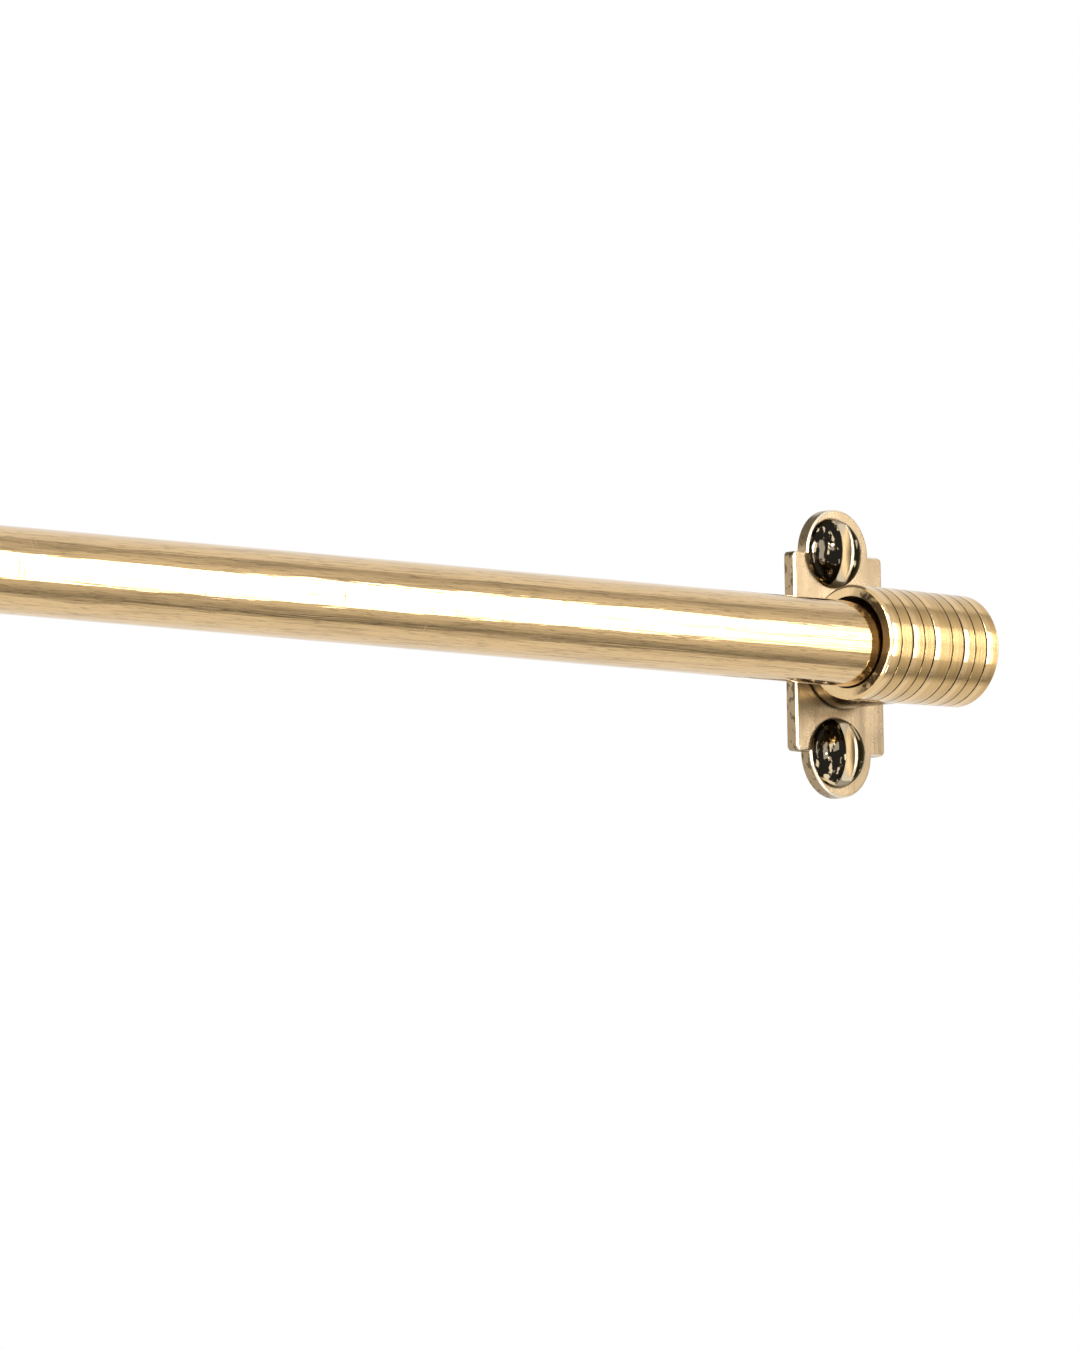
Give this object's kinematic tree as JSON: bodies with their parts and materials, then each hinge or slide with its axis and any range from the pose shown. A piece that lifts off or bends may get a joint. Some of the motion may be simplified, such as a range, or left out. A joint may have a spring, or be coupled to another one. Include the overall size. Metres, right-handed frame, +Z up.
{
  "type": "curtain rod",
  "caption": "Telescoping brass cafe curtain rod with its ends in ringed barrel sockets, carried on round posts by eared wall plates fixed with slotted round-head wood screws.",
  "frame": {"origin": "on the wall plane, in the right wall plate's back face, midway between its two wood screws", "axes": "+X along the rod towards the outer end of the right bracket, +Y into the wall, so the room is on the -Y side, +Z up"},
  "size_m": [0.5276, 0.035, 0.032],
  "materials": {
    "polished_brass": "polished drawn tube with fine lines along it",
    "turned_brass": "turned, semi-bright",
    "satin_brass": "satin",
    "screw_brass": "mirror polished heads"
  },
  "bodies": {
    "outer_half": {"right_wall_plate": "satin_brass", "right_standoff_post": "satin_brass", "right_barrel_socket": "turned_brass", "right_post_screw": "screw_brass", "right_upper_wood_screw": "screw_brass", "right_lower_wood_screw": "screw_brass", "outer_tube": "polished_brass"},
    "inner_half": {"left_wall_plate": "satin_brass", "left_standoff_post": "satin_brass", "left_barrel_socket": "turned_brass", "left_post_screw": "screw_brass", "left_upper_wood_screw": "screw_brass", "left_lower_wood_screw": "screw_brass", "inner_tube": "polished_brass", "inner_tube_ferrule": "polished_brass"}
  },
  "joints": [
    {"name": "telescoping_slide", "type": "slide", "parent": "outer_half", "child": "inner_half", "axis": [-1, 0, 0], "range_m": [-0.0508, 0.2032]}
  ]
}
